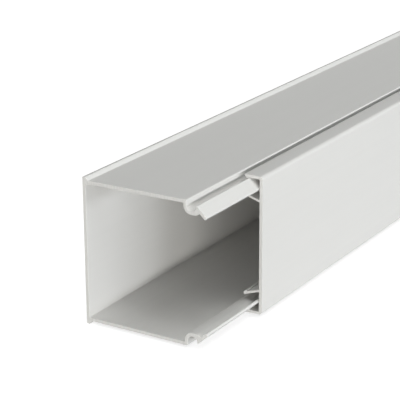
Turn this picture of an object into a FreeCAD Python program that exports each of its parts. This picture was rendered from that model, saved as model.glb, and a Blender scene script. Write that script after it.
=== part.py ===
"""Wall-mounted cable raceway: an extruded U-shaped base and the cover that snaps over its open front.

Frame, in millimetres: X runs from the wall to the front, Y along the length, Z up.
The origin is at the middle of the part's foot, and the raceway lies on one of its side walls.
"""

import FreeCAD, Part
import math
import os

# Overall sizes of the raceway
STOCK_LENGTH = 2000.0
WIDTH_OVER_LIPS = 60.0
DEPTH_OVER_COVER = 56.6

# Base: back wall, side walls and the lips that stand out at the back corners
BACK_THICKNESS = 1.4
SIDE_THICKNESS = 1.4
LIP_HEIGHT = 1.35
LIP_THICKNESS = 1.4
LIP_FOOT_THICKNESS = 2.6
INSIDE_CORNER_RADIUS = 0.5
LIP_EDGE_RADIUS = 0.25

# Base: the slight splay of the side walls, and the groove that each of them curls into at the front
SIDE_SPLAY = 0.2
GROOVE_WIDTH = 4.1
GROOVE_DEPTH = 4.1
GROOVE_RADIUS = 1.8
CURL_RADIUS = 3.3
CURL_RISE_RADIUS = 2.5
MOUTH_EDGE_RADIUS = 0.6

# Base: the ramp that leads the cover on, from the crest that it snaps behind to the tip
RAMP_RUN = 4.6
RAMP_DROP = 4.3
RAMP_THICKNESS = 1.3
RAMP_BACK_LENGTH = 3.1
CREST_RADIUS = 0.25
TIP_RADIUS = 0.55
NOTCH_RADIUS = 0.2

# Cover: front plate, the two flanges that lie a step below the side walls' faces, and their snap beads
COVER_THICKNESS = 1.5
FLANGE_THICKNESS = 1.15
FLANGE_LENGTH = 8.4
COVER_CORNER_RADIUS = 1.6
COVER_INSIDE_RADIUS = 0.5
FLANGE_EDGE_RADIUS = 0.2
BEAD_WIDTH = 0.5
BEAD_HEIGHT = 0.5
BEAD_RADIUS = 0.2

# Cover: the two inner legs, which lean towards the side walls and thicken to a round bead
LEG_INSET = 10.0
LEG_LENGTH = 6.9
LEG_LEAN = 2.3
LEG_THICKNESS = 0.9
LEG_BEAD_THICKNESS = 1.4
LEG_BEAD_LENGTH = 1.4
LEG_ROOT_RADIUS = 0.3
LEG_BEAD_RADIUS = 0.45
LEG_STEP_RADIUS = 0.25

# How the cover sits on the base
COVER_STEP = 0.3
CREST_CLEARANCE = 0.1
BEAD_CLEARANCE = 0.3
TIP_CLEARANCE = 0.1
COVER_SETBACK = 38.0

HALF_WIDTH = WIDTH_OVER_LIPS / 2
SIDE_FACE = HALF_WIDTH - LIP_HEIGHT
PLATE_BACK_X = DEPTH_OVER_COVER - COVER_THICKNESS
TIP_X = PLATE_BACK_X - TIP_CLEARANCE
CREST_X = TIP_X - RAMP_RUN
CREST_INSET = COVER_STEP + FLANGE_THICKNESS + CREST_CLEARANCE
GROOVE_BACK_X = CREST_X - GROOVE_WIDTH


def round_of(before, corner, after, radius):
    """The start, middle and end of the arc that rounds one corner of an outline."""
    to_before = FreeCAD.Vector(before - corner).normalize()
    to_after = FreeCAD.Vector(after - corner).normalize()
    half_angle = to_before.getAngle(to_after) / 2
    reach = radius / math.tan(half_angle)
    bisector = FreeCAD.Vector(to_before + to_after).normalize()
    middle = corner + bisector * (math.hypot(radius, reach) - radius)
    return corner + to_before * reach, middle, corner + to_after * reach


def rounded_wire(outline):
    """A closed wire through (x, z, radius) corners, each rounded by an arc of its own radius."""
    points = [FreeCAD.Vector(x, 0, z) for x, z, _ in outline]
    rounds = []
    for i, (_, _, radius) in enumerate(outline):
        before, corner, after = points[i - 1], points[i], points[(i + 1) % len(points)]
        if radius:
            rounds.append(round_of(before, corner, after, radius))
        else:
            rounds.append((corner, corner, corner))
    edges = []
    for i, (start, middle, end) in enumerate(rounds):
        if start.distanceToPoint(end) > 1e-6:
            edges.append(Part.Arc(start, middle, end).toShape())
        next_start = rounds[(i + 1) % len(rounds)][0]
        if end.distanceToPoint(next_start) > 1e-6:
            edges.append(Part.LineSegment(end, next_start).toShape())
    return Part.Wire(edges)


def hook_outline():
    """One side wall's front end as (x, inset, radius) corners, from its outer face round to its inner face.

    The inset is measured inwards from the side wall's outer face at its foot, which the wall's
    splay takes further out at the front. The outer face of the curl runs under the groove, and
    rises to the notch where it meets the ramp's back.
    """
    length = math.hypot(RAMP_RUN, RAMP_DROP)
    along = (RAMP_RUN / length, RAMP_DROP / length)
    corner_inset = CREST_INSET - CREST_RADIUS * (1 / math.tan(math.atan2(RAMP_RUN, RAMP_DROP) / 2) - 1)
    tip_inset = corner_inset + RAMP_DROP
    ramp_back = (TIP_X - along[1] * RAMP_THICKNESS, tip_inset + along[0] * RAMP_THICKNESS)
    notch = (ramp_back[0] - along[0] * RAMP_BACK_LENGTH, ramp_back[1] - along[1] * RAMP_BACK_LENGTH)
    groove_bottom = GROOVE_DEPTH - SIDE_SPLAY
    curl_bottom = groove_bottom + SIDE_THICKNESS
    wall_inside_x = GROOVE_BACK_X - SIDE_THICKNESS
    return [
        (GROOVE_BACK_X, -SIDE_SPLAY, MOUTH_EDGE_RADIUS),
        (GROOVE_BACK_X, groove_bottom, GROOVE_RADIUS),
        (CREST_X, groove_bottom, GROOVE_RADIUS),
        (CREST_X, corner_inset, CREST_RADIUS),
        (TIP_X, tip_inset, TIP_RADIUS),
        (ramp_back[0], ramp_back[1], TIP_RADIUS),
        (notch[0], notch[1], NOTCH_RADIUS),
        (CREST_X, curl_bottom, CURL_RISE_RADIUS),
        (wall_inside_x, curl_bottom, CURL_RADIUS),
        (wall_inside_x, SIDE_THICKNESS - SIDE_SPLAY, 0.0),
    ]


def both_sides(outline, side_face):
    """A whole section's outline, from its lower half given as (x, inset, radius) corners."""
    lower = [(x, inset - side_face, radius) for x, inset, radius in outline]
    upper = [(x, -z, radius) for x, z, radius in reversed(lower)]
    return lower + upper


def base_section():
    """The base's section: back wall with lips, two side walls and their hooks."""
    lower = [
        (0.0, -LIP_HEIGHT, LIP_EDGE_RADIUS),
        (LIP_THICKNESS, -LIP_HEIGHT, LIP_EDGE_RADIUS),
        (LIP_FOOT_THICKNESS, 0.0, LIP_EDGE_RADIUS),
        *hook_outline(),
        (BACK_THICKNESS, SIDE_THICKNESS, INSIDE_CORNER_RADIUS),
    ]
    return rounded_wire(both_sides(lower, SIDE_FACE))


def leg_outline():
    """One inner leg as (x, inset, radius) corners: a leaning blade with a bead on its inner side."""
    root = LEG_INSET - LEG_THICKNESS / 2
    tip_x = PLATE_BACK_X - LEG_LENGTH
    bead_x = tip_x + LEG_BEAD_LENGTH
    bead_lean = LEG_LEAN * (1 - LEG_BEAD_LENGTH / LEG_LENGTH)
    return [
        (PLATE_BACK_X, root, LEG_ROOT_RADIUS),
        (tip_x, root - LEG_LEAN, LEG_BEAD_RADIUS),
        (tip_x, root - LEG_LEAN + LEG_BEAD_THICKNESS, LEG_BEAD_RADIUS),
        (bead_x, root - bead_lean + LEG_BEAD_THICKNESS, LEG_STEP_RADIUS),
        (bead_x, root - bead_lean + LEG_THICKNESS, 0.0),
        (PLATE_BACK_X, root + LEG_THICKNESS, LEG_ROOT_RADIUS),
    ]


def cover_section():
    """The cover's section: front plate, flanges that end in a snap bead each, and inner legs."""
    flange_x = DEPTH_OVER_COVER - FLANGE_LENGTH
    bead_x = CREST_X - BEAD_CLEARANCE
    bead_inset = FLANGE_THICKNESS + BEAD_HEIGHT
    lower = [
        (DEPTH_OVER_COVER, 0.0, COVER_CORNER_RADIUS),
        (flange_x, 0.0, FLANGE_EDGE_RADIUS),
        (bead_x - BEAD_WIDTH, bead_inset, BEAD_RADIUS),
        (bead_x, bead_inset, BEAD_RADIUS),
        (bead_x, FLANGE_THICKNESS, 0.0),
        (PLATE_BACK_X, FLANGE_THICKNESS, COVER_INSIDE_RADIUS),
        *leg_outline(),
    ]
    return rounded_wire(both_sides(lower, SIDE_FACE - COVER_STEP))


def extruded(section, start_y, end_y):
    """A section drawn out along the raceway between two places on its length."""
    face = Part.Face(section).translated(FreeCAD.Vector(-DEPTH_OVER_COVER / 2, start_y, HALF_WIDTH))
    return face.extrude(FreeCAD.Vector(0, end_y - start_y, 0))


def main():
    """Builds both pieces and writes one STEP file for each."""
    os.makedirs("parts", exist_ok=True)
    half = STOCK_LENGTH / 2
    pieces = {
        "base_channel": extruded(base_section(), -half, half),
        "snap_cover": extruded(cover_section(), COVER_SETBACK - half, half),
    }
    for name, shape in pieces.items():
        print(name, shape.ShapeType, "valid", shape.isValid(), "volume", round(shape.Volume, 1))
        shape.exportStep(f"parts/{name}.step")


main()
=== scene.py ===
"""A two-piece cable raceway in white rigid PVC, dressed on its CAD frame.

Both pieces are drawn sections: an outline with rounded corners that is swept along the raceway,
sawn square at both ends. Sizes are in millimetres here, and meshes are in metres in the row frame.
"""

import logging
import math
from dataclasses import dataclass, field
from enum import Enum

import bpy
from mathutils import Matrix, Vector

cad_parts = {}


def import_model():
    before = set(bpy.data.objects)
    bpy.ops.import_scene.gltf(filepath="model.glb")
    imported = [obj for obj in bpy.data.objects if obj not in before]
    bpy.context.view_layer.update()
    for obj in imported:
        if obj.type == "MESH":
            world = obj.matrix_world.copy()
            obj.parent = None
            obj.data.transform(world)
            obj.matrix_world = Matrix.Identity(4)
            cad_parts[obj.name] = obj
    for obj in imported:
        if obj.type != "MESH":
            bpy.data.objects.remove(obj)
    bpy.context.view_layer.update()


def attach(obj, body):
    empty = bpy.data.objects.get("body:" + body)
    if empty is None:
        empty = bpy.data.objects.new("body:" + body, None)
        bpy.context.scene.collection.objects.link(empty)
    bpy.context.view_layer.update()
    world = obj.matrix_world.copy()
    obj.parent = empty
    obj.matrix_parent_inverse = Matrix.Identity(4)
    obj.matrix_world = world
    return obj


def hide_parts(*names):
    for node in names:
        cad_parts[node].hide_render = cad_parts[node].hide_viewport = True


# Overall sizes in millimetres, and a millimetre in metres
STOCK_LENGTH = 2000.0
WIDTH_OVER_LIPS = 60.0
DEPTH_OVER_COVER = 56.6
LIP_HEIGHT = 1.35
MM = 0.001

# The step of an arc, the gap in millimetres below which two section points are one, and the weld in metres
ARC_STEP = math.radians(7.5)
SAME_POINT = 1e-4
WELD_DISTANCE = 1e-6

# How squarely a sawn face looks along the raceway, and the least share of sawn faces beside a broken edge
SAWN_FACING = 0.9
BESIDE_SAWN = 0.1

# The plastic that both pieces are made of
PVC_WHITE = (0.70, 0.696, 0.683)
PVC_SPECULAR = 0.2

# What the lamps are aimed at, in metres: the end that the camera sees and the other one
NEAR_AIM = (0.0, -0.9, 0.03)
FAR_AIM = (0.0, 1.0, 0.03)

# A section's corner as (x, inset or z, radius), and a place or a colour
Corner = tuple[float, float, float]
Triple = tuple[float, float, float]

log = logging.getLogger("cable_raceway")


class Side(Enum):
    """The two side walls of the raceway as it lies, by the sign of their place above mid-height."""

    LOWER = -1
    UPPER = 1


@dataclass(frozen=True)
class Lamp:
    """A soft rectangular lamp: its place, aim, width and height in metres, power and colour."""

    place: Triple
    aim: Triple
    sides: tuple[float, float]
    power: float
    colour: Triple


class Studio(Enum):
    """The studio's lamps.

    Three low bars reach into the open front and the near end, two high boxes light the top and
    the grooves, two low bars behind light the back and the far end, and a box keeps the front and
    top even up to the far end.
    """

    FRONT_BAR = Lamp((2.993, -0.900, 0.239), NEAR_AIM, (2.4, 0.3), 24.7, (0.915, 0.955, 1.0))
    CORNER_BAR = Lamp((2.596, -2.399, 0.161), NEAR_AIM, (2.4, 0.2), 18.8, (0.96, 0.98, 1.0))
    NEAR_BAR = Lamp((1.633, -3.415, 0.109), NEAR_AIM, (2.4, 0.15), 48.0, (1.0, 0.98, 0.93))
    FRONT_HIGH_BOX = Lamp((0.991, -1.166, 2.849), NEAR_AIM, (2.0, 2.0), 42.0, (0.985, 1.0, 0.985))
    NEAR_HIGH_BOX = Lamp((0.131, -2.394, 2.628), NEAR_AIM, (2.0, 2.0), 15.5, (1.0, 1.0, 0.97))
    BACK_BAR = Lamp((-3.0, -0.5, 0.14), NEAR_AIM, (3.0, 0.2), 66.0, (0.98, 0.99, 1.0))
    FAR_BAR = Lamp((-1.2, 4.2, 0.12), NEAR_AIM, (2.4, 0.16), 18.0, (0.98, 0.99, 1.0))
    FAR_FRONT_BOX = Lamp((0.85, 1.3, 0.7), FAR_AIM, (1.0, 0.6), 4.6, (0.98, 0.99, 1.0))


class NodeBench:
    """A small helper that adds nodes to one tree and joins them."""

    def __init__(self, tree: bpy.types.NodeTree) -> None:
        """Keeps the tree.

        Args:
            tree: The node tree that nodes are added to.
        """
        self.tree = tree

    def add(self, kind: str, **settings: object) -> bpy.types.Node:
        """Adds one node.

        Args:
            kind: The node's type name.
            **settings: Properties to set on the node.

        Returns:
            The new node.
        """
        node = self.tree.nodes.new(kind)
        for name, value in settings.items():
            setattr(node, name, value)
        return node

    def join(self, source: bpy.types.NodeSocket, target: bpy.types.NodeSocket) -> None:
        """Links one socket to another."""
        self.tree.links.new(source, target)

    def maths(self, operation: str, first: object, second: object = None) -> bpy.types.NodeSocket:
        """Adds a Math node.

        Args:
            operation: The Math node's operation.
            first: A socket or a number.
            second: A socket or a number, where the operation has two.

        Returns:
            The node's result socket.
        """
        node = self.add("ShaderNodeMath", operation=operation)
        for index, value in enumerate((first, second)):
            if isinstance(value, bpy.types.NodeSocket):
                self.join(value, node.inputs[index])
            elif value is not None:
                node.inputs[index].default_value = value
        return node.outputs[0]

    def noise(self, place: bpy.types.NodeSocket, scale: float, detail: float = 2.0) -> bpy.types.NodeSocket:
        """Adds a noise pattern.

        Args:
            place: The coordinates that the pattern follows.
            scale: The pattern's scale.
            detail: How many finer layers it has.

        Returns:
            The pattern's 0 to 1 value.
        """
        node = self.add("ShaderNodeTexNoise")
        node.inputs["Scale"].default_value = scale
        node.inputs["Detail"].default_value = detail
        self.join(place, node.inputs["Vector"])
        return node.outputs["Fac"]

    def two_tone(
        self, amount: bpy.types.NodeSocket, colour: Triple, tint: float, span: tuple[float, float]
    ) -> bpy.types.NodeSocket:
        """Adds a ramp between a slightly darker and a slightly lighter tone of one colour.

        Args:
            amount: The 0 to 1 value that the tone follows.
            colour: The colour between the two tones.
            tint: How far each tone is from it.
            span: The amounts at which the darker and the lighter tone are reached.

        Returns:
            The colour's socket.
        """
        ramp = self.add("ShaderNodeValToRGB")
        for element, reached, shift in zip(ramp.color_ramp.elements, span, (-tint, tint)):
            element.position = reached
            element.color = (*[channel + shift for channel in colour], 1.0)
        self.join(amount, ramp.inputs["Fac"])
        return ramp.outputs["Color"]

    def relief(self, height: bpy.types.NodeSocket, strength: float, depth: float) -> bpy.types.NodeSocket:
        """Adds a bump.

        Args:
            height: The 0 to 1 height.
            strength: The bump's strength.
            depth: The height's depth in metres.

        Returns:
            The normal's socket.
        """
        node = self.add("ShaderNodeBump")
        node.inputs["Strength"].default_value = strength
        node.inputs["Distance"].default_value = depth
        self.join(height, node.inputs["Height"])
        return node.outputs["Normal"]


def arc_points(before: Vector, corner: Vector, after: Vector, radius: float) -> list[Vector]:
    """Rounds one corner of an outline.

    Args:
        before: The outline's corner before this one.
        corner: The corner to round.
        after: The outline's corner after this one.
        radius: The round's radius; 0 keeps the corner sharp.

    Returns:
        Points along the arc, in the outline's order.
    """
    if radius == 0:
        return [corner.copy()]
    to_before = (before - corner).normalized()
    to_after = (after - corner).normalized()
    half_angle = to_before.angle(to_after) / 2
    reach = radius / math.tan(half_angle)
    centre = corner + (to_before + to_after).normalized() * (radius / math.sin(half_angle))
    start = corner + to_before * reach - centre
    end = corner + to_after * reach - centre
    sweep = math.pi - 2 * half_angle
    count = max(2, math.ceil(sweep / ARC_STEP))
    points = []
    for step in range(count + 1):
        share = step / count
        weight_start = math.sin((1 - share) * sweep) / math.sin(sweep)
        weight_end = math.sin(share * sweep) / math.sin(sweep)
        points.append(centre + start * weight_start + end * weight_end)
    return points


def rounded_outline(corners: list[Corner]) -> list[Vector]:
    """Rounds all the corners of a closed outline.

    Args:
        corners: The (x, z, radius) corners in order.

    Returns:
        The closed outline's points in the section's plane, without doubles.
    """
    places = [Vector((x, z)) for x, z, _ in corners]
    points: list[Vector] = []
    for index, (_, _, radius) in enumerate(corners):
        after = places[(index + 1) % len(places)]
        for point in arc_points(places[index - 1], places[index], after, radius):
            if not points or (point - points[-1]).length > SAME_POINT:
                points.append(point)
    if (points[0] - points[-1]).length <= SAME_POINT:
        points.pop()
    return points


def both_sides(corners: list[Corner], half_width: float) -> list[Corner]:
    """Makes a whole section from its lower half.

    Args:
        corners: The lower half's (x, inset, radius) corners, inset from its outer face.
        half_width: How far that outer face is from mid-height.

    Returns:
        The section's (x, z, radius) corners, with z measured from mid-height.
    """
    lower = [(x, inset + Side.LOWER.value * half_width, radius) for x, inset, radius in corners]
    upper = [(x, Side.UPPER.value * -z, radius) for x, z, radius in reversed(lower)]
    return lower + upper


@dataclass(frozen=True)
class DrawnPvc:
    """White rigid PVC as it leaves the die: an even satin face with faint lines along the draw."""

    name: str
    colour: Triple = PVC_WHITE
    tint: float = 0.007
    tint_span: tuple[float, float] = (0.35, 0.65)
    specular: float = PVC_SPECULAR
    roughness: float = 0.5
    roughness_spread: float = 0.08
    die_lines: Triple = (420.0, 0.35, 420.0)
    die_line_detail: float = 3.0
    die_line_depth: float = 0.000016
    cloud_scale: float = 9.0
    cloud_detail: float = 4.0
    grain_scale: float = 2600.0
    grain_share: float = 0.15
    relief_strength: float = 0.5

    def material(self) -> bpy.types.Material:
        """Makes the finish.

        Returns:
            A procedural material on Object coordinates.
        """
        made = bpy.data.materials.new(self.name)
        made.use_nodes = True
        bench = NodeBench(made.node_tree)
        shader = made.node_tree.nodes["Principled BSDF"]
        shader.inputs["Specular IOR Level"].default_value = self.specular
        place = bench.add("ShaderNodeTexCoord").outputs["Object"]
        along = bench.add("ShaderNodeMapping")
        along.inputs["Scale"].default_value = self.die_lines
        bench.join(place, along.inputs["Vector"])
        lines = bench.noise(along.outputs["Vector"], 1.0, self.die_line_detail)
        cloud = bench.noise(place, self.cloud_scale, self.cloud_detail)
        grain = bench.noise(place, self.grain_scale)
        amount = bench.maths("MULTIPLY", bench.maths("ADD", lines, cloud), 0.5)
        tone = bench.two_tone(amount, self.colour, self.tint, self.tint_span)
        bench.join(tone, shader.inputs["Base Color"])
        uneven = bench.maths("MULTIPLY_ADD", lines, self.roughness_spread)
        uneven.node.inputs[2].default_value = self.roughness - self.roughness_spread / 2
        bench.join(uneven, shader.inputs["Roughness"])
        height = bench.maths("MULTIPLY_ADD", grain, self.grain_share)
        bench.join(lines, height.node.inputs[2])
        normal = bench.relief(height, self.relief_strength, self.die_line_depth)
        bench.join(normal, shader.inputs["Normal"])
        return made


@dataclass(frozen=True)
class SawnPvc:
    """The same PVC where a saw has cut it: a duller face with the blade's fine marks across it."""

    name: str
    colour: Triple = PVC_WHITE
    tint: float = 0.03
    tint_span: tuple[float, float] = (0.3, 0.7)
    specular: float = PVC_SPECULAR
    roughness: float = 0.62
    blade_angle: float = 12.0
    marks: Triple = (1500.0, 200.0, 60.0)
    mark_depth: float = 0.00006
    relief_strength: float = 0.6

    def material(self) -> bpy.types.Material:
        """Makes the finish.

        Returns:
            A procedural material on Object coordinates.
        """
        made = bpy.data.materials.new(self.name)
        made.use_nodes = True
        bench = NodeBench(made.node_tree)
        shader = made.node_tree.nodes["Principled BSDF"]
        shader.inputs["Specular IOR Level"].default_value = self.specular
        shader.inputs["Roughness"].default_value = self.roughness
        across = bench.add("ShaderNodeMapping")
        across.inputs["Rotation"].default_value = (0.0, math.radians(self.blade_angle), 0.0)
        across.inputs["Scale"].default_value = self.marks
        bench.join(bench.add("ShaderNodeTexCoord").outputs["Object"], across.inputs["Vector"])
        marks = bench.noise(across.outputs["Vector"], 1.0)
        tone = bench.two_tone(marks, self.colour, self.tint, self.tint_span)
        bench.join(tone, shader.inputs["Base Color"])
        normal = bench.relief(marks, self.relief_strength, self.mark_depth)
        bench.join(normal, shader.inputs["Normal"])
        return made


@dataclass
class SectionDraw:
    """Draws a section out along the raceway with Geometry Nodes, and saws both its ends."""

    near: float
    far: float
    edge_break: float = 0.12
    sharp_angle: float = 24.0
    inputs: dict[str, str] = field(default_factory=dict)

    def section_mesh(self, name: str, outline: list[Vector]) -> bpy.types.Mesh:
        """Makes the section as one face that looks towards the near end.

        Args:
            name: The mesh's name.
            outline: The section's points in millimetres, x from the wall and z from mid-height.

        Returns:
            A mesh of one face at y = 0.
        """
        half_depth = DEPTH_OVER_COVER / 2
        half_width = WIDTH_OVER_LIPS / 2
        points = [((p.x - half_depth) * MM, 0.0, (p.y + half_width) * MM) for p in outline]
        turning = sum(a.x * b.y - b.x * a.y for a, b in zip(outline, outline[1:] + outline[:1]))
        if turning < 0:
            points.reverse()
        mesh = bpy.data.meshes.new(name)
        mesh.from_pydata(points, [], [list(range(len(points)))])
        mesh.update()
        return mesh

    def tree(self, name: str) -> bpy.types.NodeTree:
        """Makes the tree that draws a section out, closes its ends and sorts its two finishes.

        Args:
            name: The tree's name.

        Returns:
            The node tree, whose inputs are named in self.inputs.
        """
        tree = bpy.data.node_groups.new(name, "GeometryNodeTree")
        bench = NodeBench(tree)
        tree.interface.new_socket("Geometry", in_out="INPUT", socket_type="NodeSocketGeometry")
        for label, kind in (
            ("Near End", "NodeSocketFloat"),
            ("Far End", "NodeSocketFloat"),
            ("Sharp Angle", "NodeSocketFloat"),
            ("Drawn Finish", "NodeSocketMaterial"),
            ("Sawn Finish", "NodeSocketMaterial"),
        ):
            socket = tree.interface.new_socket(label, in_out="INPUT", socket_type=kind)
            self.inputs[label] = socket.identifier
        tree.interface.new_socket("Geometry", in_out="OUTPUT", socket_type="NodeSocketGeometry")
        given = bench.add("NodeGroupInput")
        result = bench.add("NodeGroupOutput")

        far_end = bench.add("ShaderNodeCombineXYZ")
        bench.join(given.outputs["Far End"], far_end.inputs["Y"])
        placed = bench.add("GeometryNodeSetPosition")
        bench.join(given.outputs["Geometry"], placed.inputs["Geometry"])
        bench.join(far_end.outputs["Vector"], placed.inputs["Offset"])

        way = bench.add("ShaderNodeCombineXYZ")
        length = bench.maths("SUBTRACT", given.outputs["Near End"], given.outputs["Far End"])
        bench.join(length, way.inputs["Y"])
        drawn = bench.add("GeometryNodeExtrudeMesh", mode="FACES")
        drawn.inputs["Individual"].default_value = False
        bench.join(placed.outputs["Geometry"], drawn.inputs["Mesh"])
        bench.join(way.outputs["Vector"], drawn.inputs["Offset"])

        far_cap = bench.add("GeometryNodeFlipFaces")
        bench.join(placed.outputs["Geometry"], far_cap.inputs["Mesh"])
        whole = bench.add("GeometryNodeJoinGeometry")
        bench.join(far_cap.outputs["Mesh"], whole.inputs["Geometry"])
        bench.join(drawn.outputs["Mesh"], whole.inputs["Geometry"])
        closed = bench.add("GeometryNodeMergeByDistance")
        closed.inputs["Distance"].default_value = WELD_DISTANCE
        bench.join(whole.outputs["Geometry"], closed.inputs["Geometry"])

        normal = bench.add("GeometryNodeInputNormal")
        split = bench.add("ShaderNodeSeparateXYZ")
        bench.join(normal.outputs["Normal"], split.inputs["Vector"])
        facing = bench.maths("ABSOLUTE", split.outputs["Y"])
        sawn = bench.maths("GREATER_THAN", facing, SAWN_FACING)
        sawn_face = bench.add("GeometryNodeFieldOnDomain", domain="FACE", data_type="FLOAT")
        bench.join(sawn, sawn_face.inputs[0])

        broken = bench.add("GeometryNodeStoreNamedAttribute", domain="EDGE", data_type="FLOAT")
        broken.inputs["Name"].default_value = "bevel_weight_edge"
        bench.join(closed.outputs["Geometry"], broken.inputs["Geometry"])
        beside_sawn = bench.maths("GREATER_THAN", sawn_face.outputs[0], BESIDE_SAWN)
        bench.join(beside_sawn, broken.inputs["Value"])

        bend = bench.add("GeometryNodeInputMeshEdgeAngle")
        limit = bench.maths("RADIANS", given.outputs["Sharp Angle"])
        rounded = bench.add("GeometryNodeSetShadeSmooth", domain="FACE")
        bench.join(broken.outputs["Geometry"], rounded.inputs["Geometry"])
        creased = bench.add("GeometryNodeSetShadeSmooth", domain="EDGE")
        creased.inputs["Shade Smooth"].default_value = False
        bench.join(rounded.outputs["Geometry"], creased.inputs["Geometry"])
        sharp = bench.maths("GREATER_THAN", bend.outputs["Unsigned Angle"], limit)
        bench.join(sharp, creased.inputs["Selection"])

        real = bench.add("GeometryNodeRealizeInstances")
        bench.join(creased.outputs["Geometry"], real.inputs["Geometry"])
        sides = bench.add("GeometryNodeSetMaterial")
        bench.join(real.outputs["Geometry"], sides.inputs["Geometry"])
        bench.join(given.outputs["Drawn Finish"], sides.inputs["Material"])
        ends = bench.add("GeometryNodeSetMaterial")
        bench.join(sides.outputs["Geometry"], ends.inputs["Geometry"])
        bench.join(sawn_face.outputs[0], ends.inputs["Selection"])
        bench.join(given.outputs["Sawn Finish"], ends.inputs["Material"])
        bench.join(ends.outputs["Geometry"], result.inputs["Geometry"])
        return tree

    def draw(
        self, name: str, outline: list[Vector], drawn: DrawnPvc, sawn: SawnPvc
    ) -> bpy.types.Object:
        """Makes one piece from its section.

        Args:
            name: The piece's name.
            outline: The section's points.
            drawn: The finish along the raceway.
            sawn: The finish of both ends.

        Returns:
            The piece as a plain mesh at the origin.
        """
        blank = bpy.data.objects.new(f"{name}_blank", self.section_mesh(f"{name}_section", outline))
        bpy.context.scene.collection.objects.link(blank)
        draw_out = blank.modifiers.new("draw_out", "NODES")
        draw_out.node_group = self.tree(f"{name}_draw_out")
        for label, value in (
            ("Near End", self.near * MM),
            ("Far End", self.far * MM),
            ("Sharp Angle", self.sharp_angle),
            ("Drawn Finish", drawn.material()),
            ("Sawn Finish", sawn.material()),
        ):
            draw_out[self.inputs[label]] = value
        deburr = blank.modifiers.new("deburr", "BEVEL")
        deburr.limit_method = "WEIGHT"
        deburr.width = self.edge_break * MM
        deburr.segments = 2
        graph = bpy.context.evaluated_depsgraph_get()
        mesh = bpy.data.meshes.new_from_object(blank.evaluated_get(graph), depsgraph=graph)
        mesh.name = name
        bpy.data.objects.remove(blank)
        piece = bpy.data.objects.new(name, mesh)
        bpy.context.scene.collection.objects.link(piece)
        return piece


@dataclass
class BaseChannel:
    """The base: back wall with lips, two side walls, and the groove and ramp at each wall's front."""

    back_thickness: float = 1.4
    side_thickness: float = 1.4
    lip_thickness: float = 1.4
    lip_foot_thickness: float = 2.6
    inside_corner_radius: float = 0.5
    lip_edge_radius: float = 0.25
    side_splay: float = 0.2
    groove_width: float = 4.1
    groove_depth: float = 4.1
    groove_radius: float = 1.8
    curl_radius: float = 3.3
    curl_rise_radius: float = 2.5
    mouth_edge_radius: float = 0.6
    crest_x: float = 50.4
    crest_inset: float = 1.55
    crest_radius: float = 0.25
    ramp_run: float = 4.6
    ramp_drop: float = 4.3
    ramp_thickness: float = 1.3
    ramp_back_length: float = 3.1
    tip_radius: float = 0.55
    notch_radius: float = 0.2

    def hook(self) -> list[Corner]:
        """One side wall's front end, from its outer face round to its inner face.

        The curl's outer face runs under the groove and rises to the notch behind the ramp.

        Returns:
            The hook's (x, inset, radius) corners.
        """
        along = Vector((self.ramp_run, self.ramp_drop)).normalized()
        lead = math.atan2(self.ramp_run, self.ramp_drop)
        crest = self.crest_inset - self.crest_radius * (1 / math.tan(lead / 2) - 1)
        tip = Vector((self.crest_x + self.ramp_run, crest + self.ramp_drop))
        ramp_back = tip + Vector((-along.y, along.x)) * self.ramp_thickness
        notch = ramp_back - along * self.ramp_back_length
        groove_back_x = self.crest_x - self.groove_width
        groove_bottom = self.groove_depth - self.side_splay
        curl_bottom = groove_bottom + self.side_thickness
        wall_inside_x = groove_back_x - self.side_thickness
        return [
            (groove_back_x, -self.side_splay, self.mouth_edge_radius),
            (groove_back_x, groove_bottom, self.groove_radius),
            (self.crest_x, groove_bottom, self.groove_radius),
            (self.crest_x, crest, self.crest_radius),
            (tip.x, tip.y, self.tip_radius),
            (ramp_back.x, ramp_back.y, self.tip_radius),
            (notch.x, notch.y, self.notch_radius),
            (self.crest_x, curl_bottom, self.curl_rise_radius),
            (wall_inside_x, curl_bottom, self.curl_radius),
            (wall_inside_x, self.side_thickness - self.side_splay, 0.0),
        ]

    def outline(self) -> list[Vector]:
        """The base's whole section.

        Returns:
            The section's points in millimetres.
        """
        lower = [
            (0.0, -LIP_HEIGHT, self.lip_edge_radius),
            (self.lip_thickness, -LIP_HEIGHT, self.lip_edge_radius),
            (self.lip_foot_thickness, 0.0, self.lip_edge_radius),
            *self.hook(),
            (self.back_thickness, self.side_thickness, self.inside_corner_radius),
        ]
        return rounded_outline(both_sides(lower, WIDTH_OVER_LIPS / 2 - LIP_HEIGHT))

    def build(self) -> bpy.types.Object:
        """Draws the base over the whole stock length and puts it on the frame.

        Returns:
            The base as a piece of the frame's root body.
        """
        draw = SectionDraw(near=-STOCK_LENGTH / 2, far=STOCK_LENGTH / 2)
        drawn, sawn = DrawnPvc("base_drawn_pvc"), SawnPvc("base_sawn_pvc")
        piece = draw.draw("base_channel_drawn", self.outline(), drawn, sawn)
        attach(piece, "root")
        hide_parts("base_channel")
        return piece


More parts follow.
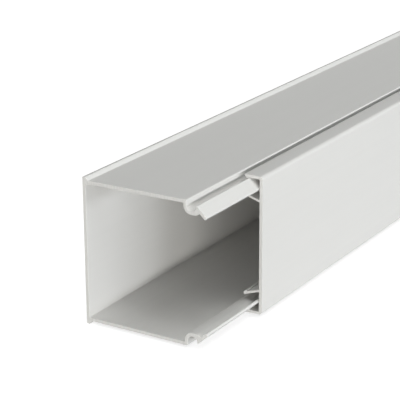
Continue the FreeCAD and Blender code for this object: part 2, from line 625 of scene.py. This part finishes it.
@dataclass
class SnapCover:
    """The cover: front plate, two flanges that end in a snap bead, and two inner legs."""

    thickness: float = 1.5
    flange_thickness: float = 1.15
    flange_length: float = 8.4
    step: float = 0.3
    setback: float = 38.0
    corner_radius: float = 1.6
    inside_radius: float = 0.5
    flange_edge_radius: float = 0.2
    bead_x: float = 50.1
    bead_width: float = 0.5
    bead_height: float = 0.5
    bead_radius: float = 0.2
    leg_inset: float = 10.0
    leg_length: float = 6.9
    leg_lean: float = 2.3
    leg_thickness: float = 0.9
    leg_bead_thickness: float = 1.4
    leg_bead_length: float = 1.4
    leg_root_radius: float = 0.3
    leg_bead_radius: float = 0.45
    leg_step_radius: float = 0.25

    def leg(self) -> list[Corner]:
        """One inner leg: a leaning blade with a bead on its inner side.

        Returns:
            The leg's (x, inset, radius) corners.
        """
        plate_x = DEPTH_OVER_COVER - self.thickness
        root = self.leg_inset - self.leg_thickness / 2
        tip_x = plate_x - self.leg_length
        step_x = tip_x + self.leg_bead_length
        step_lean = self.leg_lean * (1 - self.leg_bead_length / self.leg_length)
        return [
            (plate_x, root, self.leg_root_radius),
            (tip_x, root - self.leg_lean, self.leg_bead_radius),
            (tip_x, root - self.leg_lean + self.leg_bead_thickness, self.leg_bead_radius),
            (step_x, root - step_lean + self.leg_bead_thickness, self.leg_step_radius),
            (step_x, root - step_lean + self.leg_thickness, 0.0),
            (plate_x, root + self.leg_thickness, self.leg_root_radius),
        ]

    def outline(self) -> list[Vector]:
        """The cover's whole section.

        Returns:
            The section's points in millimetres.
        """
        flange_x = DEPTH_OVER_COVER - self.flange_length
        bead_inset = self.flange_thickness + self.bead_height
        lower = [
            (DEPTH_OVER_COVER, 0.0, self.corner_radius),
            (flange_x, 0.0, self.flange_edge_radius),
            (self.bead_x - self.bead_width, bead_inset, self.bead_radius),
            (self.bead_x, bead_inset, self.bead_radius),
            (self.bead_x, self.flange_thickness, 0.0),
            (DEPTH_OVER_COVER - self.thickness, self.flange_thickness, self.inside_radius),
            *self.leg(),
        ]
        return rounded_outline(both_sides(lower, WIDTH_OVER_LIPS / 2 - LIP_HEIGHT - self.step))

    def build(self) -> bpy.types.Object:
        """Draws the cover, set back from the near end, and puts it on the frame.

        Returns:
            The cover as a piece of the frame's root body.
        """
        draw = SectionDraw(near=self.setback - STOCK_LENGTH / 2, far=STOCK_LENGTH / 2)
        drawn, sawn = DrawnPvc("cover_drawn_pvc"), SawnPvc("cover_sawn_pvc")
        piece = draw.draw("snap_cover_drawn", self.outline(), drawn, sawn)
        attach(piece, "root")
        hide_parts("snap_cover")
        return piece


@dataclass
class PhotoStudio:
    """The camera, the pale floor, the lamps and the world round the raceway."""

    yaw: float = -31.77
    pitch: float = 19.08
    roll: float = -0.37
    lens: float = 139.74
    sensor_width: float = 36.0
    clip_start: float = 0.01
    camera_at: Triple = (0.30126, -1.44808, 0.24210)
    sky_level: float = 0.03
    floor_reach: float = 12.0
    floor_glow: float = 0.8
    floor_colour: Triple = (0.50, 0.50, 0.50)

    def camera(self) -> None:
        """Sets the camera where the photograph was taken from."""
        yaw, pitch, roll = (math.radians(v) for v in (self.yaw, self.pitch, self.roll))
        flat = math.cos(pitch)
        ahead = Vector((math.sin(yaw) * flat, math.cos(yaw) * flat, -math.sin(pitch)))
        level = Vector((math.cos(yaw), -math.sin(yaw), 0.0))
        upright = level.cross(ahead)
        right = level * math.cos(roll) + upright * math.sin(roll)
        up = upright * math.cos(roll) - level * math.sin(roll)
        lens = bpy.data.cameras.new("camera")
        lens.sensor_width = self.sensor_width
        lens.lens = self.lens
        lens.clip_start = self.clip_start
        made = bpy.data.objects.new("camera", lens)
        turn = Matrix((right, up, -ahead)).transposed().to_4x4()
        made.matrix_world = Matrix.Translation(self.camera_at) @ turn
        bpy.context.scene.collection.objects.link(made)
        bpy.context.scene.camera = made

    def seen_glow(self, bench: NodeBench) -> bpy.types.NodeSocket:
        """A 0 to 1 value that is 1 for camera, glossy and transmission rays.

        Args:
            bench: The bench of the tree that uses it.

        Returns:
            The value's socket.
        """
        path = bench.add("ShaderNodeLightPath")
        glossy, clear = path.outputs["Is Glossy Ray"], path.outputs["Is Transmission Ray"]
        return bench.maths("MAXIMUM", path.outputs["Is Camera Ray"], bench.maths("MAXIMUM", glossy, clear))

    def floor(self) -> None:
        """Lays a plain pale floor that shows white and keeps the raceway's shadow."""
        turns = ((-1, -1), (1, -1), (1, 1), (-1, 1))
        corners = [(x * self.floor_reach, y * self.floor_reach, 0.0) for x, y in turns]
        mesh = bpy.data.meshes.new("floor")
        mesh.from_pydata(corners, [], [(0, 1, 2, 3)])
        made = bpy.data.objects.new("floor", mesh)
        bpy.context.scene.collection.objects.link(made)
        paint = bpy.data.materials.new("floor_white")
        paint.use_nodes = True
        bench = NodeBench(paint.node_tree)
        shader = paint.node_tree.nodes["Principled BSDF"]
        shader.inputs["Base Color"].default_value = (*self.floor_colour, 1.0)
        shader.inputs["Roughness"].default_value = 1.0
        shader.inputs["Specular IOR Level"].default_value = 0.0
        shader.inputs["Emission Color"].default_value = (1.0, 1.0, 1.0, 1.0)
        glow = bench.maths("MULTIPLY", self.seen_glow(bench), self.floor_glow)
        bench.join(glow, shader.inputs["Emission Strength"])
        mesh.materials.append(paint)

    def world(self) -> None:
        """Sets an even pale sky that shows white behind the raceway."""
        sky = bpy.data.worlds.new("studio")
        sky.use_nodes = True
        bench = NodeBench(sky.node_tree)
        back = sky.node_tree.nodes["Background"]
        back.inputs["Color"].default_value = (1.0, 1.0, 1.0, 1.0)
        level = bench.maths("MULTIPLY_ADD", self.seen_glow(bench), 1.0 - self.sky_level)
        level.node.inputs[2].default_value = self.sky_level
        bench.join(level, back.inputs["Strength"])
        bpy.context.scene.world = sky

    def lamps(self) -> None:
        """Sets the soft lamps."""
        for kind in Studio:
            name, lamp = kind.name.lower(), kind.value
            light = bpy.data.lights.new(name, "AREA")
            light.shape = "RECTANGLE"
            light.size, light.size_y = lamp.sides
            light.energy = lamp.power
            light.color = lamp.colour
            made = bpy.data.objects.new(name, light)
            made.location = lamp.place
            ray = Vector(lamp.aim) - Vector(lamp.place)
            made.rotation_euler = ray.to_track_quat("-Z", "Y").to_euler()
            bpy.context.scene.collection.objects.link(made)

    def build(self) -> None:
        """Sets the whole studio."""
        self.camera()
        self.floor()
        self.world()
        self.lamps()
        bpy.context.scene.view_settings.view_transform = "Standard"


def main() -> None:
    """Builds the studio and both pieces on the frame, and logs each piece's face and material counts."""
    logging.basicConfig(level=logging.INFO, format="%(name)s: %(message)s")
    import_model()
    PhotoStudio().build()
    for piece in (BaseChannel().build(), SnapCover().build()):
        mesh = piece.data
        log.info("%s: %d faces, %d materials", piece.name, len(mesh.polygons), len(mesh.materials))
    bpy.context.view_layer.update()


if __name__ == "__main__":
    main()
